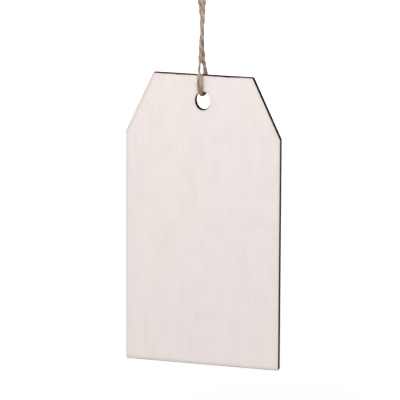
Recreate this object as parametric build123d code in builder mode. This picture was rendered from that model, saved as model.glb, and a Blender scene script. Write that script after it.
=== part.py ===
from build123d import *
import os
from math import radians, sqrt, tan

os.makedirs("parts", exist_ok=True)

# A laser-cut plywood gift tag that hangs on a loop of jute twine. Millimetres, +Z up.
# The tag stands in the XZ plane with its front towards -Y. The origin is the hanging point:
# the top of the small eye in the twine, where a hook or a peg holds it.

# Tag outline, seen from the front
TAG_WIDTH = 54.0
TAG_HEIGHT = 100.5
CORNER_CUT_WIDTH = 9.7  # off each top corner, measured across
CORNER_CUT_HEIGHT = 20.6  # off each top corner, measured down
CORNER_ROUND = 0.4  # left by the width of the cut
HOLE_WIDTH = 5.1  # an oval hole
HOLE_HEIGHT = 6.3
HOLE_DROP = 8.7  # from the top edge down to the middle of the hole

# Plywood, from front to back: veneer, core, veneer
VENEER_THICKNESS = 0.5
CORE_THICKNESS = 1.0

# Twine
TWINE_DIAMETER = 1.5
TWINE_CLEARANCE = 0.3  # twine to wood, where the tag swings on it
HANGING_DROP = 37.5  # from the hanging point down to the tag's top edge
TAG_SHIFT = 0.7  # the tag's middle is this far to the right of the twine
FORK_FOOT = 1.0  # the legs start to lean in at this height above the top edge
FORK_TOP = 5.4  # and lie together from this height above the top edge
LEG_GAP = 0.2  # between the two legs where they lie together
BEND_SHARE = 0.45  # part of the shorter run that each bend of the twine takes up

# Knot, above the eye
KNOT_BASE = 4.0  # above the hanging point
KNOT_HEIGHT = 4.5
KNOT_WIDTH = 4.8
KNOT_END_WIDTH = 3.6  # flat ends, where the strands go in and come out
KNOT_TURN_TILT = 18.0  # degrees, of the turn that stands out round the knot

# Values that follow from those above
tag_thickness = 2 * VENEER_THICKNESS + CORE_THICKNESS
top_edge = -HANGING_DROP
bottom_edge = top_edge - TAG_HEIGHT
hole_middle = top_edge - HOLE_DROP
twine_radius = TWINE_DIAMETER / 2
leg_offset = (TWINE_DIAMETER + LEG_GAP) / 2
twine_room = twine_radius + TWINE_CLEARANCE  # from the twine's middle to the wood
face_offset = tag_thickness / 2 + twine_room
reach_across = HOLE_WIDTH / 2 - twine_room
reach_up = HOLE_HEIGHT / 2 - twine_room
swing_axis = hole_middle + reach_up * sqrt(1 - (TAG_SHIFT / reach_across) ** 2)
knot_top = KNOT_BASE + KNOT_HEIGHT

# The front leg from the knot down to the hole, as points of its route.
# The back leg is the same leg turned half round about the twine's own line.
front_leg = [
    (leg_offset, 0, KNOT_BASE),
    (leg_offset, 0, 0.9),
    (2.8, 0.1, -2.7),
    (2.6, -0.1, -6.3),
    (0.95, -0.35, -9.9),
    (0.6, -0.62, -15.0),
    (0.28, -0.8, -23.5),
    (0, -leg_offset, top_edge + FORK_TOP),
    (0, -face_offset, top_edge + FORK_FOOT),
    (0, -face_offset, swing_axis),
]
back_leg = [(-x, -y, z) for x, y, z in reversed(front_leg)]

right_tail = [
    (leg_offset, 0, knot_top),
    (leg_offset, 0, 11.3),
    (2.5, 0.4, 14.0),
    (3.3, 0.2, 16.4),
]
left_tail = [
    (-leg_offset, 0, knot_top),
    (-leg_offset, 0, 10.9),
    (-2.0, -0.9, 13.2),
    (-2.3, -1.9, 15.0),
]


def bend_radii(route):
    """The widest bend that the two runs at each point of a route leave room for."""
    radii = []
    for before, point, after in zip(route, route[1:], route[2:]):
        run_in = Vector(point) - Vector(before)
        run_out = Vector(after) - Vector(point)
        half_turn = radians(run_in.get_angle(run_out)) / 2
        shorter_run = min(run_in.length, run_out.length)
        radii.append(BEND_SHARE * shorter_run / tan(half_turn))
    return radii


def twine_tube(name, route, radii):
    """A length of twine along a route of straight runs and tangent bends."""
    with BuildPart() as tube:
        with BuildLine() as line:
            FilletPolyline(*route, radius=radii)
        with BuildSketch(Plane(origin=line.line @ 0, z_dir=line.line % 0)) as section:
            Circle(twine_radius)
        sweep(path=line.line)
    tube.part.label = name
    export_step(tube.part, f"parts/{name}.step")
    length = line.wire().length
    volume_share = tube.part.volume / (section.sketch.area * length)
    print(name, "bend radii", [round(radius, 1) for radius in radii])
    print(name, "length", round(length, 1), "volume share", round(volume_share, 4))


def cut_ply(name, thickness, back):
    """One ply of the tag, from its back plane forwards."""
    half_width = TAG_WIDTH / 2
    half_top = half_width - CORNER_CUT_WIDTH
    shoulder = top_edge - CORNER_CUT_HEIGHT
    with BuildPart() as ply:
        with BuildSketch(Plane.XZ.offset(-back)) as face:
            with BuildLine(Plane.XZ.offset(-back)):
                Polyline(
                    (TAG_SHIFT - half_width, bottom_edge),
                    (TAG_SHIFT + half_width, bottom_edge),
                    (TAG_SHIFT + half_width, shoulder),
                    (TAG_SHIFT + half_top, top_edge),
                    (TAG_SHIFT - half_top, top_edge),
                    (TAG_SHIFT - half_width, shoulder),
                    close=True,
                )
            make_face()
            fillet(face.vertices(), radius=CORNER_ROUND)
            with Locations((TAG_SHIFT, hole_middle)):
                Ellipse(HOLE_WIDTH / 2, HOLE_HEIGHT / 2, mode=Mode.SUBTRACT)
        extrude(amount=thickness)
    ply.part.label = name
    export_step(ply.part, f"parts/{name}.step")


# Plies, each lying on the one behind it
cut_ply("back_veneer", VENEER_THICKNESS, tag_thickness / 2)
cut_ply("core_ply", CORE_THICKNESS, CORE_THICKNESS / 2)
cut_ply("front_veneer", VENEER_THICKNESS, -CORE_THICKNESS / 2)

# Twine loop: down the front, through the hole at its top, and up the back.
# Its two bends round the hole's rim are as tight as the rim makes them.
loop_route = front_leg + back_leg
loop_radii = bend_radii(loop_route)
front_rim = len(front_leg) - 2
back_rim = len(front_leg) - 1
loop_radii[front_rim] = TWINE_DIAMETER
loop_radii[back_rim] = TWINE_DIAMETER
twine_tube("twine_loop", loop_route, loop_radii)

# Knot: a drawn-up lump with one turn standing out round it
with BuildPart() as twine_knot:
    with BuildSketch(Plane.XZ):
        with BuildLine():
            base = Line((0, KNOT_BASE), (KNOT_END_WIDTH / 2, KNOT_BASE))
            side = ThreePointArc(
                base @ 1,
                (KNOT_WIDTH / 2 - twine_radius / 2, KNOT_BASE + KNOT_HEIGHT / 2),
                (KNOT_END_WIDTH / 2, knot_top),
            )
            Polyline(side @ 1, (0, knot_top), base @ 0)
        make_face()
    revolve(axis=Axis.Z)
    with Locations(Location((0, 0, KNOT_BASE + KNOT_HEIGHT / 2), (KNOT_TURN_TILT, 0, 0))):
        Torus(KNOT_WIDTH / 2 - twine_radius, twine_radius)
twine_knot.part.label = "twine_knot"
export_step(twine_knot.part, "parts/twine_knot.step")

# Loose ends above the knot
twine_tube("twine_tail_right", right_tail, bend_radii(right_tail))
twine_tube("twine_tail_left", left_tail, bend_radii(left_tail))
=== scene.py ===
import math

import bmesh
import bpy
import numpy as np
from bpy.props import FloatProperty, FloatVectorProperty, IntProperty, PointerProperty
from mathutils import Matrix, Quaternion, Vector


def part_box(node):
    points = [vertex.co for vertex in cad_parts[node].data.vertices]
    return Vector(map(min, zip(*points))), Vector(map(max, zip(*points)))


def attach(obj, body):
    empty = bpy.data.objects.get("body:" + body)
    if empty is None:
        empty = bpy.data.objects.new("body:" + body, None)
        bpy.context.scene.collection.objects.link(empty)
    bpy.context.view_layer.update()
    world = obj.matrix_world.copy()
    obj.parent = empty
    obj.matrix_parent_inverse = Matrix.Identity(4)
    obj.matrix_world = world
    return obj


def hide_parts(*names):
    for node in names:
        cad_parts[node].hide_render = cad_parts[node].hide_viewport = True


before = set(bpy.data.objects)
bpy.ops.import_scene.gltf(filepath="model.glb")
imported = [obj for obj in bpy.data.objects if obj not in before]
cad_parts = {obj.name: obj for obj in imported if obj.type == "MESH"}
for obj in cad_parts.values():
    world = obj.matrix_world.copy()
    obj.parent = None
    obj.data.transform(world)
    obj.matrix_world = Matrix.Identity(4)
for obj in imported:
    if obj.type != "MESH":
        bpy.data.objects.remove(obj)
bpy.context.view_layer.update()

bl_info = {
    "name": "Plywood gift tag",
    "version": (1, 0, 0),
    "blender": (4, 5, 0),
    "location": "3D Viewport > Sidebar > Gift tag",
    "description": "Cuts the plies, lays the jute twine with its knot, and sets up the studio",
    "category": "Object",
}

MM = 0.001
TAG_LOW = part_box("back_veneer")[0].copy()
TAG_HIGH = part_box("back_veneer")[1].copy()
TAG_LOW.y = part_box("front_veneer")[0].y
TAG_MIDDLE_X = (TAG_LOW.x + TAG_HIGH.x) / 2


def length(name, description, default):
    """A size in metres that a user may change."""
    return FloatProperty(
        name=name, description=description, default=default, unit="LENGTH", precision=5
    )


def angle(name, description, default):
    """An angle in radians."""
    return FloatProperty(name=name, description=description, default=default, subtype="ANGLE")


def power(name, description, default):
    """A lamp's power in watts."""
    return FloatProperty(name=name, description=description, default=default, unit="POWER")


def number(name, description, default):
    """A plain number."""
    return FloatProperty(name=name, description=description, default=default)


def colour(name, description, red, green, blue):
    """A colour as a screen shows it, from 0 to 255."""
    return FloatVectorProperty(
        name=name,
        description=description,
        default=(red / 255, green / 255, blue / 255),
        size=3,
        min=0,
        max=1,
        subtype="COLOR_GAMMA",
    )


class GiftTagWood(bpy.types.PropertyGroup):
    """The plies' cut and finish."""

    corner_cut_width: length("Corner cut width", "Off each top corner, measured across", 9.7 * MM)
    corner_cut_height: length("Corner cut height", "Off each top corner, measured down", 20.6 * MM)
    corner_round: length("Corner rounding", "Left at each corner by the width of the cut", 0.4 * MM)
    hole_width: length("Hole width", "Oval hole that the twine goes through", 5.1 * MM)
    hole_height: length("Hole height", "Oval hole that the twine goes through", 6.3 * MM)
    hole_drop: length("Hole drop", "From the top edge down to the middle of the hole", 8.7 * MM)
    edge_softness: length("Edge softness", "Rounding where a face meets a cut edge", 0.07 * MM)
    core_setback: length("Core setback", "The core burns back this far behind the veneers", 0.05 * MM)
    scorch_width: length("Scorch width", "Dark line on the face along a cut edge", 0.2 * MM)
    hole_scorch: length("Hole scorch", "Wider dark line under and left of the hole", 0.22 * MM)
    right_scorch: length("Right scorch", "Wider dark line along the right-hand edges", 0.14 * MM)
    smoke_width: length("Smoke width", "Faint stain on the face along a cut edge", 1.8 * MM)
    stain_width: length("Stain width", "Stronger stain along the lower edge and left cut", 1.6 * MM)
    pale: colour("Pale wood", "Most of the face", 238, 228, 226)
    warm: colour("Warm wood", "Yellowish patches of the face", 239, 230, 222)
    grain: colour("Grain", "Fine lines along the wood", 226, 213, 206)
    char: colour("Char", "Darkest part of a burnt edge", 20, 15, 14)
    burnt: colour("Burnt wood", "Lighter part of a burnt edge", 84, 58, 54)
    soot: colour("Soot", "Grey stain along the cut edges", 158, 153, 149)
    toast: colour("Toasted wood", "Between the scorch and the pale face", 186, 160, 142)


class GiftTagTwine(bpy.types.PropertyGroup):
    """The twine's lay and finish."""

    whole_length: length("Twine length", "From one loose end to the other", 156 * MM)
    diameter: length("Twine diameter", "As bought", 1.5 * MM)
    taut_width: length("Taut width", "Where the twine hangs free", 1.33 * MM)
    face_width: length("Width on the face", "Where the twine lies on the wood and opens", 1.75 * MM)
    fork_width: length("Width at the fork", "Where the two legs part", 1.5 * MM)
    thin_width: length("Thin place", "Where the front leg leaves the top edge", 0.8 * MM)
    knot_width: length("Width in the knot", "Where the twine is drawn up", 1.15 * MM)
    lay_length: length("Lay", "Length of one turn of the two plies", 6.6 * MM)
    loosening: number("Loosening", "How much longer the lay is where the twine lies on the wood", 1.5)
    lay_start: angle("Lay start", "How far the plies are turned at the right end", 1.55)
    fibres: IntProperty(name="Loose fibres", description="Number along the twine", default=800, min=0)
    fuzz: IntProperty(name="Fuzz", description="Number of short fibres", default=1600, min=0)
    fibre_length: length("Fibre length", "Of the longest loose fibre", 2.4 * MM)
    light: colour("Light jute", "Lightest fibres", 215, 191, 173)
    middle: colour("Middle jute", "Most fibres", 174, 146, 131)
    # also the colour of the painted shade between the plies, as well as of the dark threads
    dark: colour("Dark jute", "Between the plies", 110, 84, 71)


class GiftTagStage(bpy.types.PropertyGroup):
    """The studio."""

    azimuth: angle("Azimuth", "Camera, round from the front towards the right", math.radians(16.19))
    elevation: angle("Elevation", "Camera, above the horizon", math.radians(13.5))
    roll: angle("Roll", "Camera, about its own line of sight", math.radians(0.18))
    camera_place: FloatVectorProperty(
        name="Camera place",
        description="Where the camera stands",
        default=(0.2914, -1.0051, 0.1706),
        subtype="TRANSLATION",
        unit="LENGTH",
    )
    lens: FloatProperty(
        name="Lens", description="Focal length in millimetres", default=287.03, unit="CAMERA"
    )
    ambient: number("Ambient", "Light from all round", 0.431)
    key_power: power("Key light", "From above in front", 1.13)
    fill_power: power("Fill light", "From the left in front", 1.0)
    back_power: power("Back light", "From behind, for the back of the tag", 4.8)
    floor_drop: length("Floor drop", "From the tag's lower edge down to the floor", 60 * MM)
    floor_colour: colour("Floor", "Plain pale floor", 236, 236, 236)
    near_glow: number("Near glow", "Lifts the floor by the tag to white where it is seen", 0.36)
    far_glow: number("Far glow", "The same, out of the lamps' reach", 0.67)


class Wire:
    """A socket in a material, so that shader maths is written as plain expressions."""

    def __init__(self, tree, socket=None):
        self.tree = tree
        self.socket = socket

    def node(self, kind, settings=None, sockets=None, out=0):
        """Adds a node with these settings, then these values or links on its sockets."""
        node = self.tree.nodes.new(kind)
        for name, value in (settings or {}).items():
            setattr(node, name, value)
        for name, value in (sockets or {}).items():
            if isinstance(value, Wire):
                self.tree.links.new(value.socket, node.inputs[name])
            else:
                node.inputs[name].default_value = value
        return Wire(self.tree, node.outputs[out] if node.outputs else None)

    def other(self, name):
        """Another output of the same node."""
        return Wire(self.tree, self.socket.node.outputs[name])

    def axis(self, name):
        """One coordinate of this vector."""
        return self.node("ShaderNodeSeparateXYZ", None, {"Vector": self}, out=name)

    def maths(self, operation, first, second=0.0):
        return self.node("ShaderNodeMath", {"operation": operation}, {0: first, 1: second})

    def __add__(self, more):
        return self.maths("ADD", self, more)

    __radd__ = __add__

    def __sub__(self, less):
        return self.maths("SUBTRACT", self, less)

    def __rsub__(self, whole):
        return self.maths("SUBTRACT", whole, self)

    def __mul__(self, times):
        return self.maths("MULTIPLY", self, times)

    def __truediv__(self, share):
        return self.maths("DIVIDE", self, share)

    def __pow__(self, exponent):
        return self.maths("POWER", self, exponent)

    def __abs__(self):
        return self.maths("ABSOLUTE", self)

    def least(self, *others):
        """The smallest of this value and the others."""
        found = self
        for other in others:
            found = self.maths("MINIMUM", found, other)
        return found

    def most(self, other):
        """The larger of this value and the other."""
        return self.maths("MAXIMUM", self, other)

    def step(self, start, end, low=0.0, high=1.0):
        """A smooth step from low at start to high at end."""
        return self.node(
            "ShaderNodeMapRange",
            {"interpolation_type": "SMOOTHSTEP"},
            {"Value": self, "From Min": start, "From Max": end, "To Min": low, "To Max": high},
        )

    def blend(self, one, two):
        """From colour one to colour two by this value."""
        return self.node(
            "ShaderNodeMix", {"data_type": "RGBA"}, {0: self, 6: one, 7: two}, out=2
        )

    def noise(self, fineness, detail, rough):
        """Smooth noise at these coordinates, with its own fineness along each axis."""
        scaled = self.node("ShaderNodeMapping", None, {"Vector": self, "Scale": fineness})
        return self.node(
            "ShaderNodeTexNoise",
            None,
            {"Vector": scaled, "Scale": 1.0, "Detail": detail, "Roughness": rough},
        )


def linear(shown):
    """A screen colour as the shader wants it."""
    return (*(c / 12.92 if c <= 0.04045 else ((c + 0.055) / 1.055) ** 2.4 for c in shown), 1.0)


def new_material(name):
    """An empty material and the start of its shader maths."""
    material = bpy.data.materials.new(name)
    material.use_nodes = True
    material.node_tree.nodes.clear()
    return material, Wire(material.node_tree)


def finish_surface(start, base, rough, specular, height=None, bump=0.0, sheen=0.0):
    """The principled surface of a material, with a bump where a height is given."""
    sockets = {
        "Base Color": base,
        "Roughness": rough,
        "Specular IOR Level": specular,
        "Sheen Weight": sheen,
    }
    if height is not None:
        sockets["Normal"] = start.node(
            "ShaderNodeBump", None, {"Height": height, "Strength": 1.0, "Distance": bump}
        )
    surface = start.node("ShaderNodeBsdfPrincipled", None, sockets)
    start.node("ShaderNodeOutputMaterial", None, {"Surface": surface})


# Noises that mark the wood: how fine they are across, through and along it, detail, roughness
STREAKS = ((900, 900, 26), 4.0, 0.6)
PORES = ((3600, 3600, 130), 3.0, 0.6)
PATCHES = ((42, 42, 20), 2.0, 0.5)
FLECKS = ((1500, 1500, 210), 1.0, 0.4)
CLOUDS = ((240, 240, 130), 2.0, 0.5)
RAGGED = ((1300, 1300, 1300), 2.0, 0.5)
UNSTEADY = ((160, 160, 160), 1.0, 0.5)
KERF = ((5200, 420, 5200), 3.0, 0.6)
CHARRING = ((70, 70, 70), 2.0, 0.5)

# How strongly each marking shows
STREAK_STRENGTH = 0.16
PORE_STRENGTH = 0.24
FLECK_STRENGTH = 0.2
CLOUD_STRENGTH = 0.16
SMOKE_STRENGTH = 0.3
STAIN_STRENGTH = 0.6
TOAST_STRENGTH = 0.85

# How much wider or narrower the dark line is along some edges, in scorch widths
TOP_WIDER = 0.44
SIDES_NARROWER = 0.6
HOLE_NARROWER = 0.8
TOP_UNSTEADY = 2.0

# What lightens a burnt edge: the marks of the beam, slow changes, and sides that run with the grain
KERF_LIGHTENS = 0.75
CHARRING_LIGHTENS = 0.6
GRAIN_LIGHTENS = 0.3

# What is taken off that again
BURN_LEVEL = 0.25
CORE_DARKER = 0.12  # in the core only

WOOD_ROUGHNESS = 0.6
WOOD_BUMP = 0.03 * MM
WOOD_SHINE = 0.06

# Noises that mark the jute: how fine they are across the fibres (two axes) and along them,
# detail, roughness
STRANDS = ((3.2, 3.2, 0.2), 3.0, 0.6)
THREADS = ((9.0, 9.0, 0.5), 2.0, 0.6)
SLOW_TONE = ((0.3, 0.3, 0.1), 1.0, 0.5)
DARK_THREADS = 0.4
# how dark the painted shade between the plies gets
PAINTED_SHADE_STRENGTH = 0.65
JUTE_ROUGHNESS = 0.85
JUTE_BUMP = 0.06 * MM
JUTE_SHINE = 0.2
JUTE_SHEEN = 0.05
FIBRE_ROUGHNESS = 0.7
FIBRE_SHINE = 0.25


def edge_margins(place, wood):
    """How far a point of the face is from the tag's top, bottom, sides, left cut and hole."""
    x, z = place.axis("X"), place.axis("Z")
    half_width = (TAG_HIGH.x - TAG_LOW.x) / 2
    cut = Vector((wood.corner_cut_height, wood.corner_cut_width)).normalized()
    shoulder = TAG_HIGH.z - wood.corner_cut_height
    side = half_width - abs(x - TAG_MIDDLE_X)
    corner = side * cut.x + (shoulder - z) * cut.y
    on_right = (x - TAG_MIDDLE_X).step(0.0, half_width / 2)
    upright = side.least(corner) - on_right * wood.right_scorch
    left_cut = (x - TAG_LOW.x) * cut.x + (shoulder - z) * cut.y
    half_across, half_up = wood.hole_width / 2, wood.hole_height / 2
    across = (x - TAG_MIDDLE_X) / half_across
    up = (z - (TAG_HIGH.z - wood.hole_drop)) / half_up
    reach = (across * across + up * up) ** 0.5
    slope = ((across / half_across) ** 2 + (up / half_up) ** 2) ** 0.5
    hole = reach * (reach - 1) / slope
    under_or_left = (up * -1).step(0.0, 0.7).most((across * -1).step(0.3, 1.0))
    hole = hole - under_or_left * wood.hole_scorch
    return TAG_HIGH.z - z, z - TAG_LOW.z, upright, left_cut, hole


def plywood(name, wood, darker):
    """Pale bare wood with its grain upright, burnt dark where the beam has cut it."""
    material, start = new_material(name)
    place = start.node("ShaderNodeTexCoord", out="Object")
    streaks = place.noise(*STREAKS)
    pores = place.noise(*PORES)
    patches = place.noise(*PATCHES)
    flecks = place.noise(*FLECKS)
    clouds = place.noise(*CLOUDS)

    # The bare face
    face = patches.step(0.46, 0.7).blend(linear(wood.pale), linear(wood.warm))
    lines = streaks.step(0.45, 0.75) * STREAK_STRENGTH + pores.step(0.5, 0.8) * PORE_STRENGTH
    lines = lines + flecks.step(0.66, 0.76) * FLECK_STRENGTH
    lines = lines + clouds.step(0.4, 0.65) * CLOUD_STRENGTH
    face = lines.blend(face, linear(wood.grain))

    # Smoke and toasted wood along the cuts
    top, bottom, side, left_cut, hole = edge_margins(place, wood)
    ragged = place.noise(*RAGGED)
    smoke = top.least(bottom, side, hole).step(0, wood.smoke_width, 1, 0)
    stain = bottom.least(left_cut).step(0, wood.stain_width, 1, 0)
    dirt = (smoke * smoke * SMOKE_STRENGTH).most(stain * STAIN_STRENGTH) * ragged
    face = dirt.blend(face, linear(wood.soot))
    width = wood.scorch_width
    unsteady = (0.5 - place.noise(*UNSTEADY)) * (width * TOP_UNSTEADY)
    margin = (top - width * TOP_WIDER + unsteady).least(
        bottom, side + width * SIDES_NARROWER, hole + width * HOLE_NARROWER
    )
    rim = margin.step(width * 0.35, width * 1.5, 1, 0)
    face = (rim * TOAST_STRENGTH).blend(face, linear(wood.toast))

    # The burnt edges
    kerf = place.noise(*KERF)
    with_grain = abs(place.other("Normal").axis("X")).step(0.92, 0.99)
    lightened = kerf * KERF_LIGHTENS + place.noise(*CHARRING) * CHARRING_LIGHTENS
    lightened = lightened + with_grain * GRAIN_LIGHTENS
    burn = (lightened - BURN_LEVEL - darker).step(0.2, 0.85)
    edge = burn.blend(linear(wood.char), linear(wood.burnt))
    wavering = margin + (ragged - 0.5) * width
    scorch = wavering.step(width * 0.25, width * 0.8, 1, 0)
    outer = (TAG_HIGH.y - TAG_LOW.y) / 2
    scorch = scorch.most(abs(place.axis("Y")).step(outer - wood.edge_softness, outer, 1, 0))

    height = (streaks * 0.5 + pores * 0.5) * (1 - scorch) + kerf * scorch
    rough = WOOD_ROUGHNESS + streaks * 0.1 + scorch * 0.15
    shade = scorch.blend(face, edge)
    finish_surface(start, shade, rough, WOOD_SHINE, height=height, bump=WOOD_BUMP)
    return material


def jute(name, twine):
    """Twisted jute: fibres lie along the twine, with painted shade between the two plies."""
    material, start = new_material(name)
    lay = start.node("ShaderNodeAttribute", {"attribute_name": "fibre_lay"}, out="Vector")
    painted_shade = start.node("ShaderNodeAttribute", {"attribute_name": "painted_shade"}, out="Fac")
    strands = lay.noise(*STRANDS)
    threads = lay.noise(*THREADS)
    slow = lay.noise(*SLOW_TONE)
    tone = (strands * 0.6 + threads * 0.5 + slow * 0.3 - 0.2).step(0.34, 0.68)
    fibre = tone.blend(linear(twine.middle), linear(twine.light))
    streak = threads.step(0.56, 0.68) * DARK_THREADS
    fibre = streak.blend(fibre, linear(twine.dark))
    # painted shade between the plies: darkens the fibres towards the dark jute near the twine's line
    shade = (painted_shade * PAINTED_SHADE_STRENGTH).blend(fibre, linear(twine.dark))
    finish_surface(
        start,
        shade,
        JUTE_ROUGHNESS - threads * 0.1,
        JUTE_SHINE,
        height=threads + strands,
        bump=JUTE_BUMP,
        sheen=JUTE_SHEEN,
    )
    return material


def jute_fibre(name, twine):
    """Loose fibres, each of its own tone."""
    material, start = new_material(name)
    tone = start.node("ShaderNodeAttribute", {"attribute_name": "fibre_tone"}, out="Fac")
    shade = tone.blend(linear(twine.middle), linear(twine.light))
    finish_surface(start, shade, FIBRE_ROUGHNESS + tone * 0.1, FIBRE_SHINE)
    return material


SAME_PLACE = 0.01 * MM  # an edge whose ends are this close, seen from the front, runs through the ply
SAME_HEIGHT = 0.2 * MM  # as near as an edge has to be to the height that is asked for
CORNER_SEGMENTS = 5
HOLE_SIDES = 96
DRILL_LENGTH = 4  # times the thickness of the ply
SOFT_SEGMENTS = 2
SOFTENED_FROM = math.radians(50)  # a flatter edge stays as it is
SMOOTH_UP_TO = math.radians(20)  # keeps the faces' shading flat beside their softened edges


def select_only(piece):
    """Leaves one piece selected and active."""
    bpy.ops.object.select_all(action="DESELECT")
    piece.select_set(True)
    bpy.context.view_layer.objects.active = piece


def pick_upright_edges(piece, height):
    """Selects the edges through the thickness of an edited ply at one height."""
    mesh = bmesh.from_edit_mesh(piece.data)
    for edge in mesh.edges:
        one, two = (vertex.co for vertex in edge.verts)
        through = abs(one.x - two.x) + abs(one.z - two.z) < SAME_PLACE
        edge.select_set(through and abs(one.z - height) < SAME_HEIGHT)
    bmesh.update_edit_mesh(piece.data)


def cut_ply(name, node, wood, finish, setback=0.0):
    """One ply: a blank with its top corners cut off, its corners rounded and its hole bored."""
    low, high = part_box(node)
    inward = Vector((setback, 0, setback))
    low, high = low + inward, high - inward
    middle = (low + high) / 2
    bpy.ops.object.select_all(action="DESELECT")
    bpy.ops.mesh.primitive_cube_add(size=1, location=middle, scale=high - low)
    ply = bpy.context.object
    ply.name = ply.data.name = name
    bpy.ops.object.transform_apply(location=True, rotation=True, scale=True)

    bpy.ops.object.mode_set(mode="EDIT")
    shoulder = TAG_HIGH.z - wood.corner_cut_height
    for side, edge in ((-1, TAG_LOW.x), (1, TAG_HIGH.x)):
        outward = Vector((side * wood.corner_cut_height, 0, wood.corner_cut_width)).normalized()
        bpy.ops.mesh.select_all(action="SELECT")
        bpy.ops.mesh.bisect(
            plane_co=Vector((edge, middle.y, shoulder)) - outward * setback,
            plane_no=outward,
            use_fill=True,
            clear_outer=True,
            threshold=1e-7,
        )
    bpy.ops.mesh.select_mode(type="EDGE")
    cut_turn = math.atan2(wood.corner_cut_width, wood.corner_cut_height)
    for height, turn in (
        (low.z, math.pi / 2),
        (shoulder, cut_turn),
        (high.z, math.pi / 2 - cut_turn),
    ):
        pick_upright_edges(ply, height)
        bpy.ops.mesh.bevel(
            offset=wood.corner_round * math.tan(turn / 2), segments=CORNER_SEGMENTS, affect="EDGES"
        )
    bpy.ops.object.mode_set(mode="OBJECT")

    bpy.ops.mesh.primitive_cylinder_add(
        vertices=HOLE_SIDES,
        radius=0.5,
        depth=DRILL_LENGTH * (high.y - low.y),
        location=(middle.x, middle.y, TAG_HIGH.z - wood.hole_drop),
        rotation=(math.pi / 2, 0, 0),
        scale=(wood.hole_width + 2 * setback, wood.hole_height + 2 * setback, 1),
    )
    drill = bpy.context.object
    select_only(ply)
    bore = ply.modifiers.new("bore", "BOOLEAN")
    bore.operation = "DIFFERENCE"
    bore.solver = "EXACT"
    bore.object = drill
    bpy.ops.object.modifier_apply(modifier=bore.name)
    bpy.data.objects.remove(drill, do_unlink=True)
    soften = ply.modifiers.new("soften", "BEVEL")
    soften.width = wood.edge_softness
    soften.segments = SOFT_SEGMENTS
    soften.limit_method = "ANGLE"
    soften.angle_limit = SOFTENED_FROM
    bpy.ops.object.modifier_apply(modifier=soften.name)
    bpy.ops.object.shade_smooth_by_angle(angle=SMOOTH_UP_TO)

    ply.data.materials.clear()
    ply.data.materials.append(finish)
    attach(ply, "tag")
    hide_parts(node)


class GIFT_TAG_OT_plies(bpy.types.Operator):
    """Cut the two veneers and the core of the tag"""

    bl_idname = "gift_tag.plies"
    bl_label = "Plies"

    def execute(self, context):
        wood = context.scene.gift_tag_wood
        veneer = plywood("veneer_wood", wood, 0.0)
        core = plywood("core_wood", wood, CORE_DARKER)
        cut_ply("veneer_back", "back_veneer", wood, veneer)
        cut_ply("core_board", "core_ply", wood, core, wood.core_setback)
        cut_ply("veneer_front", "front_veneer", wood, veneer)
        return {"FINISHED"}


# Points that steer the twine's route, in millimetres
FRONT_LEG = [
    (0.85, 0, 4.0),
    (0.85, 0, 0.9),
    (2.8, 0.1, -2.7),
    (2.6, -0.1, -6.3),
    (1.0, -0.35, -10.6),
    (0.65, -0.5, -15.0),
    (0.6, -0.56, -19.0),
    (0.12, -0.62, -23.5),
    (-0.2, -0.62, -29.0),
    (-0.25, -0.62, -32.4),
    (-0.4, -1.2, -34.6),
    (-0.4, -1.75, -36.2),
    (0.0, -1.75, -37.8),
    (-0.15, -1.75, -40.4),
    (0.1, -1.85, -43.3),
    (0.15, -0.7, -44.15),
]
BACK_LEG = [
    (0.3, 0.9, -44.5),
    (0.85, 2.0, -43.7),
    (0.75, 1.8, -40.4),
    (0.8, 1.9, -36.5),
    (0.5, 1.6, -34.7),
    (0.4, 0.75, -32.8),
    (0.2, 0.62, -30.5),
    (-0.08, 0.62, -23.5),
    (-0.1, 0.56, -19.0),
    (-0.55, 0.5, -15.0),
    (-1.0, 0.35, -10.6),
    (-2.6, 0.1, -6.3),
    (-2.8, -0.1, -2.7),
    (-0.85, 0, 0.9),
    (-0.85, 0, 4.0),
]
RIGHT_TAIL = [(0.85, 0, 8.5), (0.85, 0, 11.3), (2.5, 0.4, 14.0), (3.3, 0.2, 16.4)]
LEFT_TAIL = [(-0.85, 0, 8.5), (-0.85, 0, 10.9), (-2.0, -0.9, 13.2), (-2.3, -1.9, 15.0)]

# The knot, in millimetres: points as degrees round it and height, bends as degrees, radius, height
KNOT_CORE = 0.62  # radius at which the four strands inside the knot stand
KNOT_TURN = 1.9  # radius of the turn round them
KNOT_RISE = [(0, 5.4), (0, 7.2)]
KNOT_BEND_OUT = (20, 1.5, 8.05)
KNOT_WRAP = [(65, 7.75), (110, 7.45), (155, 7.1), (200, 6.75), (245, 6.4), (290, 6.05), (335, 5.7)]
KNOT_BEND_IN = (380, 1.45, 5.0)
KNOT_TUCK = [(90, 5.9), (90, 7.6)]

TWINE_STEP = 0.16 * MM  # from one ring of the twine to the next
ROUTE_RESOLUTION = 24  # points of the spline to each point that steers it
WANDER_WAVES = 4
WANDER_SIZE = 2.4  # brings most of the sum of the waves between -1 and 1

# Room between the twine and the wood
SWING_REACH = 1.5 * MM  # how much higher the top edge comes by the twine as the tag swings
RIM_ROOM = 0.06 * MM
FACE_ROOM = 0.04 * MM

# Where each change of the twine's width starts and ends
OPENING = (0.95 * MM, 0.15 * MM)  # above the top edge
PARTING = (4.4 * MM, 3.5 * MM)  # above the top edge
JOINING = (8.0 * MM, 5.0 * MM)  # above the top edge
HOLE_ENTRY = (1.05 * MM, 1.65 * MM)  # before and behind the tag's middle
HOLE_ROOF = 5 * MM  # the hole lies lower than this under the top edge
KNOT_FOOT = (3 * MM, 5 * MM)  # above the hanging point
KNOT_HEAD = (10 * MM, 8.2 * MM)  # above the hanging point

# How much its width changes
BACK_OPENING = 0.6  # part of the front leg's opening that the back leg has
HOLE_SQUEEZE = 0.08
UNEVEN_WIDTH = 0.06
WIDTH_WAVES = (5 * MM, 23 * MM)

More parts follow.
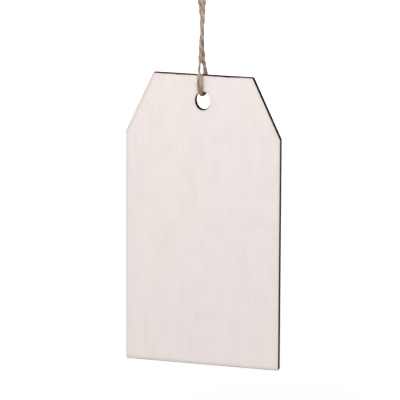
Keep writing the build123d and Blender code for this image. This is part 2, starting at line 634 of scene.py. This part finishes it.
# The two plies of the twine
PLIES = 2
PLY_SIDES = 28
PLY_APART = 4  # keeps the markings of the two plies apart
LAY_SEED = 7
UNEVEN_LAY = 0.35  # radians
LAY_WAVES = (9 * MM, 31 * MM)
END_LENGTH = 3 * MM  # over which they come apart at the loose ends
TIP = (-0.4 * MM, 0.9 * MM)  # from the end, over which they grow thinner towards it

# The same, as parts of the twine's width
PLY_OFFSET = 0.16  # from the twine's line to the ply's
PLY_RADIUS = 0.34
MERGING = 0.05  # how much closer and thicker the plies are on the wood
END_OPENING = 0.22  # how much further apart they are at the loose ends
END_THINNING = 0.1  # and how much thinner
OUTER_REACH = 0.53  # from the twine's line to its outside
PAINTED_SHADE_REACH = (0.33, 0.48)  # from the twine's line, where the painted shade between the plies goes from dark to light
LOOSE_PAINTED_SHADE = 0.07  # how much further out the painted shade reaches on the wood

# A twine that is pressed against the wood
FLATTEST = 0.55  # its least height, as a part of its free height
SPREADING = -0.4  # power of its height by which it gets wider

# Grooves and ridges, as parts of a ply's radius
GROOVE_DEPTH = 0.08
GROOVE_WAVES = (2.2 * MM, 9 * MM)
RIDGE_HEIGHT = 0.1
LOOSE_GROOVES = 0.18  # how much deeper the low ridges lie on the wood
LOOSE_STEP = 0.08  # those as low as this have all of it

# Loose fibres
FRAY_SEED = 11
FIBRE_POINTS = 6
FIBRE_SIDES = 3
FIBRE_RADIUS = 0.024 * MM
FIBRE_TAPER = 0.6
FIBRE_LENGTHS = (0.3, 1.0)
FIBRE_SHORTENING = 1.5  # power that makes long fibres rare
FUZZ_LENGTH = 0.3  # part of a loose fibre's length
FIBRE_BEND = 0.28
FIBRE_LIFT = (0.18, 0.6)
FIBRE_ROOT = 0.3  # part of the taut width, from the twine's line
FIBRE_ROOM = 0.06 * MM  # kept free before and behind the tag
SWEPT_HEIGHT = 6 * MM  # above the top edge, up to where that room is kept
SIDE_NUDGE = 0.01  # keeps a fibre's two directions apart
END_FIBRES = 120
END_LIFT = (0.02, 0.45)
END_ROOT = 4  # rings from the end


def round_knot(side, degrees, radius, height):
    """A point of the knot, by its angle from the side where its strand comes in."""
    turn = math.radians(degrees)
    return (side * radius * math.cos(turn), side * radius * math.sin(turn), height)


def knotted(side):
    """One strand of the overhand knot: up the middle, down round the outside, up again."""
    points = [round_knot(side, degrees, KNOT_CORE, height) for degrees, height in KNOT_RISE]
    points.append(round_knot(side, *KNOT_BEND_OUT))
    points += [round_knot(side, degrees, KNOT_TURN, height) for degrees, height in KNOT_WRAP]
    points.append(round_knot(side, *KNOT_BEND_IN))
    points += [round_knot(side, degrees, KNOT_CORE, height) for degrees, height in KNOT_TUCK]
    return points


def twine_route():
    """The whole twine from its right end to its left end, in metres."""
    route = RIGHT_TAIL[::-1] + knotted(1)[::-1] + FRONT_LEG
    route += BACK_LEG + knotted(-1) + LEFT_TAIL
    return [Vector(point) * MM for point in route]


def smooth_line(route):
    """Points at even steps along the smooth spline that a route steers, and how far along they are."""
    curve = bpy.data.curves.new("twine_route", "CURVE")
    curve.dimensions = "3D"
    curve.resolution_u = ROUTE_RESOLUTION
    spline = curve.splines.new("NURBS")
    spline.points.add(len(route) - 1)
    for point, place in zip(spline.points, route):
        point.co = (*place, 1.0)
    spline.order_u = 3
    spline.use_endpoint_u = True
    holder = bpy.data.objects.new("twine_route", curve)
    mesh = bpy.data.meshes.new_from_object(holder)
    line = np.array([vertex.co for vertex in mesh.vertices], float)
    bpy.data.meshes.remove(mesh)
    bpy.data.curves.remove(curve)
    along = np.concatenate([[0], np.cumsum(np.linalg.norm(np.diff(line, axis=0), axis=1))])
    at = np.linspace(0, along[-1], round(along[-1] / TWINE_STEP) + 1)
    return np.stack([np.interp(at, along, line[:, k]) for k in range(3)], axis=1), at


def unit(rows):
    """These directions at length 1."""
    return rows / np.linalg.norm(rows, axis=-1, keepdims=True)


def carried_frames(line):
    """Directions along the line and across it, carried along without turning round it."""
    ahead = unit(np.gradient(line, axis=0))
    across = np.empty_like(ahead)
    last = np.cross(ahead[0], (0.0, 1.0, 0.0))
    for i, way in enumerate(ahead):
        last = last - way * (last @ way)
        last = across[i] = last / np.linalg.norm(last)
    return ahead, across, np.cross(ahead, across)


def ease(value, start, end):
    """A smooth step from 0 at start to 1 at end."""
    t = np.clip((value - start) / (end - start), 0, 1)
    return t * t * (3 - 2 * t)


def wander(draw, at, shortest, longest):
    """A slow seeded wave along the twine, mostly between -1 and 1."""
    waves = np.geomspace(shortest, longest, WANDER_WAVES)
    total = sum(np.sin(2 * np.pi * at / wave + draw.uniform(0, 2 * np.pi)) for wave in waves)
    return total / WANDER_SIZE


def from_wood(line, wood):
    """The way from the wood, or from where it swings to, to each point of the line, and how far."""
    across = np.clip((line[:, 0] - TAG_MIDDLE_X) / (wood.hole_width / 2), -1, 1)
    rise = wood.hole_height / 2 * np.sqrt(1 - across**2)
    hole_top = TAG_HIGH.z - wood.hole_drop + rise - RIM_ROOM
    nearest = line.copy()
    nearest[:, 1] = np.clip(line[:, 1], TAG_LOW.y, TAG_HIGH.y)
    nearest[:, 2] = np.clip(line[:, 2], hole_top, TAG_HIGH.z + SWING_REACH)
    away = line - nearest
    far = np.linalg.norm(away, axis=1)
    return away / far[:, None], far


def tube(centres, across, over, radii, first):
    """Rings of a tube with closed ends, as points and faces numbered from first."""
    rings, sides = radii.shape
    turn = 2 * np.pi * np.arange(sides) / sides
    points = (
        centres[:, None]
        + radii[..., None] * np.cos(turn)[None, :, None] * across[:, None]
        + radii[..., None] * np.sin(turn)[None, :, None] * over[:, None]
    )
    ring, side = np.meshgrid(np.arange(rings - 1), np.arange(sides), indexing="ij")
    beside = (side + 1) % sides
    here, there = ring * sides, (ring + 1) * sides
    faces = np.stack([here + side, here + beside, there + beside, there + side], axis=-1).reshape(-1, 4)
    ends = [tuple(range(sides))[::-1], tuple((rings - 1) * sides + np.arange(sides))]
    faces = [tuple(int(i) + first for i in face) for face in [*faces, *ends]]
    return points.reshape(-1, 3), faces


def new_mesh(name, points, faces, attributes):
    """A mesh with smooth faces and the named attributes of its points."""
    mesh = bpy.data.meshes.new(name)
    mesh.from_pydata(points.tolist(), [], faces)
    for title, values in attributes.items():
        kind, key = ("FLOAT_VECTOR", "vector") if values.ndim == 2 else ("FLOAT", "value")
        mesh.attributes.new(title, kind, "POINT").data.foreach_set(
            key, values.astype(np.float32).ravel()
        )
    mesh.polygons.foreach_set("use_smooth", [True] * len(mesh.polygons))
    mesh.update()
    return mesh


def on_the_wood(line):
    """1 where the twine lies on the tag, and 0 where it hangs free."""
    return ease(line[:, 2] - TAG_HIGH.z, *OPENING)


def width_along(line, at, twine, draw):
    """The twine's width at each point: open on the wood, drawn up in the knot."""
    depth, height = line[:, 1], line[:, 2]
    above_edge = height - TAG_HIGH.z
    on_wood = on_the_wood(line) * np.where(depth < 0, 1.0, BACK_OPENING)
    in_hole = (1 - ease(np.abs(depth), *HOLE_ENTRY)) * (above_edge < -HOLE_ROOF)
    in_knot = ease(height, *KNOT_FOOT) * ease(height, *KNOT_HEAD)
    width = twine.taut_width + (twine.face_width - twine.taut_width) * on_wood * (1 - in_hole)
    width *= 1 - HOLE_SQUEEZE * in_hole
    width += (twine.knot_width - width) * in_knot
    parted = ease(above_edge, *PARTING)
    joined = ease(above_edge, *JOINING) * (1 - parted)
    width += (twine.fork_width - twine.taut_width) * joined
    width += (twine.thin_width - twine.taut_width) * parted * (1 - on_wood) * (depth < 0)
    return width * (1 + UNEVEN_WIDTH * wander(draw, at, *WIDTH_WAVES))


def lay_twine(line, at, twine, wood):
    """The two plies of the twine along a line, with their grooves and their opened ends."""
    draw = np.random.default_rng(LAY_SEED)
    _, across, over = carried_frames(line)
    width = width_along(line, at, twine, draw)
    to_end = np.minimum(at, at[-1] - at)
    opened = 1 - ease(to_end, 0, END_LENGTH)
    away, far = from_wood(line, wood)
    room = np.clip((far - FACE_ROOM) / (OUTER_REACH * width), FLATTEST, 1.0)
    spread = room**SPREADING

    on_wood = on_the_wood(line)
    merged = MERGING * on_wood
    offsets = width * (PLY_OFFSET - merged + END_OPENING * opened)
    thickness = width * (PLY_RADIUS + merged - END_THINNING * opened)
    lay = twine.lay_length * (1 + twine.loosening * on_wood)
    turned = 2 * np.pi * np.cumsum(np.diff(at, prepend=0) / lay)
    around = np.repeat(np.arange(len(line)), PLY_SIDES)
    turn = np.tile(2 * np.pi * np.arange(PLY_SIDES) / PLY_SIDES, len(line))

    all_points, all_faces, lays, painted_shades = [], [], [], []
    for ply in range(PLIES):
        phase = twine.lay_start - turned + 2 * np.pi * ply / PLIES
        phase = phase + UNEVEN_LAY * wander(draw, at, *LAY_WAVES)
        out = np.cos(phase)[:, None] * across + np.sin(phase)[:, None] * over
        centres = line + out * offsets[:, None]
        grooves = np.stack([wander(draw, at, *GROOVE_WAVES) for _ in range(PLY_SIDES)], axis=1)
        ridges = draw.uniform(-RIDGE_HEIGHT, RIDGE_HEIGHT, PLY_SIDES)
        radii = thickness[:, None] * (1 + GROOVE_DEPTH * grooves + ridges)
        radii *= 1 - LOOSE_GROOVES * on_wood[:, None] * ease(-ridges, 0.0, LOOSE_STEP)
        radii *= ease(to_end, *TIP)[:, None]
        points, faces = tube(centres, across, over, radii, len(all_points) * len(line) * PLY_SIDES)
        offset = points - line[around]
        towards = (offset * away[around]).sum(1)[:, None] * away[around]
        points = line[around] + offset * spread[around, None]
        points -= towards * (spread - room)[around, None]
        lays.append(
            np.stack([np.cos(turn) + PLY_APART * ply, np.sin(turn), at[around] / MM], axis=1)
        )
        from_line = np.linalg.norm(offset, axis=1) / width[around]
        # painted shade: dark near the twine's line, between and inside the plies, reaching further out
        # on the wood
        painted_shades.append(1 - ease(from_line - LOOSE_PAINTED_SHADE * on_wood[around], *PAINTED_SHADE_REACH))
        all_points.append(points)
        all_faces += faces
    return new_mesh(
        "twine",
        np.concatenate(all_points),
        all_faces,
        {"fibre_lay": np.concatenate(lays), "painted_shade": np.concatenate(painted_shades)},
    )


def fray(line, twine):
    """Loose fibres that stand off the twine and out of its two ends."""
    draw = np.random.default_rng(FRAY_SEED)
    ahead, across, over = carried_frames(line)
    along = np.linspace(0, 1, FIBRE_POINTS)[:, None]
    radii = np.repeat(FIBRE_RADIUS * (1 - FIBRE_TAPER * along), FIBRE_SIDES, axis=1)
    points, faces, tones = [], [], []
    made = 0
    while made < twine.fuzz + twine.fibres + END_FIBRES:
        turn = draw.uniform(0, 2 * np.pi)
        spot = draw.integers(0, len(line))
        sense = draw.choice((-1.0, 1.0))
        long = twine.fibre_length * draw.uniform(*FIBRE_LENGTHS) ** FIBRE_SHORTENING
        bend = draw.normal(0, FIBRE_BEND, 3)
        tone = draw.uniform(0, 1)
        lift = draw.uniform(*FIBRE_LIFT)
        if made < twine.fuzz:
            long *= FUZZ_LENGTH
        if made >= twine.fuzz + twine.fibres:
            spot = (END_ROOT, len(line) - 1 - END_ROOT)[made % 2]
            sense = (-1.0, 1.0)[made % 2]
            lift = draw.uniform(*END_LIFT)
        out = math.cos(turn) * across[spot] + math.sin(turn) * over[spot]
        way = unit(sense * ahead[spot] + lift * out)
        start = line[spot] + out * FIBRE_ROOT * twine.taut_width
        fibre = start + long * (along * way + along**2 * bend)
        low = fibre[:, 2] < TAG_HIGH.z + SWEPT_HEIGHT
        behind_front = fibre[:, 1] > TAG_LOW.y - FIBRE_ROOM
        before_back = fibre[:, 1] < TAG_HIGH.y + FIBRE_ROOM
        if np.any(low & behind_front & before_back):
            continue
        made += 1
        sideways = unit(np.cross(way, out + SIDE_NUDGE))
        rows, added = tube(
            fibre,
            np.repeat(sideways[None], FIBRE_POINTS, axis=0),
            np.repeat(np.cross(way, sideways)[None], FIBRE_POINTS, axis=0),
            radii,
            len(points) * FIBRE_POINTS * FIBRE_SIDES,
        )
        points.append(rows)
        faces += added
        tones.append(np.full(len(rows), tone))
    return new_mesh(
        "twine_fibres", np.concatenate(points), faces, {"fibre_tone": np.concatenate(tones)}
    )


def add_piece(context, mesh, finish):
    """Puts a finished mesh in the scene at the origin."""
    piece = bpy.data.objects.new(mesh.name, mesh)
    context.scene.collection.objects.link(piece)
    mesh.materials.append(finish)
    return piece


class GIFT_TAG_OT_twine(bpy.types.Operator):
    """Lay the twine through the hole and tie its knot"""

    bl_idname = "gift_tag.twine"
    bl_label = "Twine"

    def execute(self, context):
        twine, wood = context.scene.gift_tag_twine, context.scene.gift_tag_wood
        line, at = smooth_line(twine_route())
        cord = add_piece(context, lay_twine(line, at, twine, wood), jute("jute", twine))
        fibres = add_piece(context, fray(line, twine), jute_fibre("jute_fibre", twine))
        for piece in (cord, fibres):
            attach(piece, "twine")
        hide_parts("twine_loop", "twine_knot", "twine_tail_right", "twine_tail_left")
        return {"FINISHED"}


WHITE = (1, 1, 1, 1)
FLOOR_SIZE = 12
GLOW_REACH = (0.25, 0.85)  # from the hanging point, near glow to far glow
KEY_PLACE = (0.03, -0.29, 0.24)
KEY_SIZE = 0.24
FILL_PLACE = (-0.6, -0.8, 0.15)
FILL_SIZE = 0.7
BACK_PLACE = (-0.4, 1.1, 0.55)
BACK_SIZE = 0.6
SENSOR_WIDTH = 36  # millimetres
NEAREST_SEEN = 0.01
FARTHEST_SEEN = 100


def seen_directly(start):
    """1 for what the camera sees straight, in a mirror or through glass, and 0 for light."""
    path = start.node("ShaderNodeLightPath", out="Is Camera Ray")
    return path.most(path.other("Is Glossy Ray")).most(path.other("Is Transmission Ray"))


def area_light(name, place, target, size, watts):
    """A square soft light that faces the tag."""
    lamp = bpy.data.lights.new(name, "AREA")
    lamp.size = size
    lamp.energy = watts
    holder = bpy.data.objects.new(name, lamp)
    bpy.context.scene.collection.objects.link(holder)
    holder.location = place
    holder.rotation_euler = (target - Vector(place)).to_track_quat("-Z", "Y").to_euler()


def lay_floor(stage):
    """A plain floor that shows the tag's shadow and is otherwise white where it is seen."""
    bpy.ops.object.select_all(action="DESELECT")
    bpy.ops.mesh.primitive_plane_add(
        size=FLOOR_SIZE, location=(0, 0, TAG_LOW.z - stage.floor_drop)
    )
    floor = bpy.context.object
    floor.name = "floor"
    bpy.ops.object.transform_apply(location=True, rotation=True, scale=True)
    material, start = new_material("floor_paper")
    paper = start.node("ShaderNodeBsdfDiffuse", None, {"Color": linear(stage.floor_colour)})
    place = start.node("ShaderNodeTexCoord", out="Object")
    apart = place.node("ShaderNodeVectorMath", {"operation": "LENGTH"}, {0: place}, out="Value")
    lift = apart.step(*GLOW_REACH, stage.near_glow, stage.far_glow)
    glow = start.node(
        "ShaderNodeEmission", None, {"Color": WHITE, "Strength": seen_directly(start) * lift}
    )
    both = start.node("ShaderNodeAddShader", None, {0: paper, 1: glow})
    start.node("ShaderNodeOutputMaterial", None, {"Surface": both})
    floor.data.materials.append(material)


def light_studio(scene, stage):
    """Even light from all round behind a white backdrop, and three lamps."""
    world = bpy.data.worlds.new("studio")
    world.use_nodes = True
    world.node_tree.nodes.clear()
    start = Wire(world.node_tree)
    light = start.node("ShaderNodeBackground", None, {"Strength": stage.ambient, "Color": WHITE})
    backdrop = start.node("ShaderNodeBackground", None, {"Strength": 1.0, "Color": WHITE})
    sky = start.node("ShaderNodeMixShader", None, {0: seen_directly(start), 1: light, 2: backdrop})
    start.node("ShaderNodeOutputWorld", None, {"Surface": sky})
    scene.world = world

    middle = (TAG_LOW + TAG_HIGH) / 2
    area_light("key", KEY_PLACE, middle, KEY_SIZE, stage.key_power)
    area_light("fill", FILL_PLACE, middle, FILL_SIZE, stage.fill_power)
    area_light("back", BACK_PLACE, middle, BACK_SIZE, stage.back_power)


def place_camera(scene, stage):
    """The camera, where the photograph's stood."""
    lens = bpy.data.cameras.new("camera")
    lens.lens = stage.lens
    lens.sensor_width = SENSOR_WIDTH
    lens.clip_start = NEAREST_SEEN
    lens.clip_end = FARTHEST_SEEN
    camera = bpy.data.objects.new("camera", lens)
    scene.collection.objects.link(camera)
    camera.location = stage.camera_place
    ahead = Vector(
        (
            -math.sin(stage.azimuth) * math.cos(stage.elevation),
            math.cos(stage.azimuth) * math.cos(stage.elevation),
            -math.sin(stage.elevation),
        )
    )
    rolled = Quaternion((0, 0, 1), stage.roll)
    camera.rotation_mode = "QUATERNION"
    camera.rotation_quaternion = ahead.to_track_quat("-Z", "Y") @ rolled
    scene.camera = camera


class GIFT_TAG_OT_stage(bpy.types.Operator):
    """Set up the floor, the lights and the camera"""

    bl_idname = "gift_tag.stage"
    bl_label = "Stage"

    def execute(self, context):
        scene, stage = context.scene, context.scene.gift_tag_stage
        lay_floor(stage)
        light_studio(scene, stage)
        place_camera(scene, stage)
        scene.view_settings.view_transform = "Standard"
        return {"FINISHED"}


class GIFT_TAG_PT_panel(bpy.types.Panel):
    """Lists the steps that build the tag"""

    bl_label = "Gift tag"
    bl_idname = "GIFT_TAG_PT_panel"
    bl_space_type = "VIEW_3D"
    bl_region_type = "UI"
    bl_category = "Gift tag"

    def draw(self, context):
        for group, step in (
            ("gift_tag_wood", GIFT_TAG_OT_plies),
            ("gift_tag_twine", GIFT_TAG_OT_twine),
            ("gift_tag_stage", GIFT_TAG_OT_stage),
        ):
            box = self.layout.box()
            box.operator(step.bl_idname)
            values = getattr(context.scene, group)
            for name in values.__annotations__:
                box.prop(values, name)


GROUPS = {
    "gift_tag_wood": GiftTagWood,
    "gift_tag_twine": GiftTagTwine,
    "gift_tag_stage": GiftTagStage,
}
CLASSES = (
    *GROUPS.values(),
    GIFT_TAG_OT_plies,
    GIFT_TAG_OT_twine,
    GIFT_TAG_OT_stage,
    GIFT_TAG_PT_panel,
)


def register():
    for cls in CLASSES:
        bpy.utils.register_class(cls)
    for name, group in GROUPS.items():
        setattr(bpy.types.Scene, name, PointerProperty(type=group))


def unregister():
    for name in GROUPS:
        delattr(bpy.types.Scene, name)
    for cls in reversed(CLASSES):
        bpy.utils.unregister_class(cls)


def main():
    register()
    bpy.ops.gift_tag.plies()
    bpy.ops.gift_tag.twine()
    bpy.ops.gift_tag.stage()


if __name__ == "__main__":
    main()
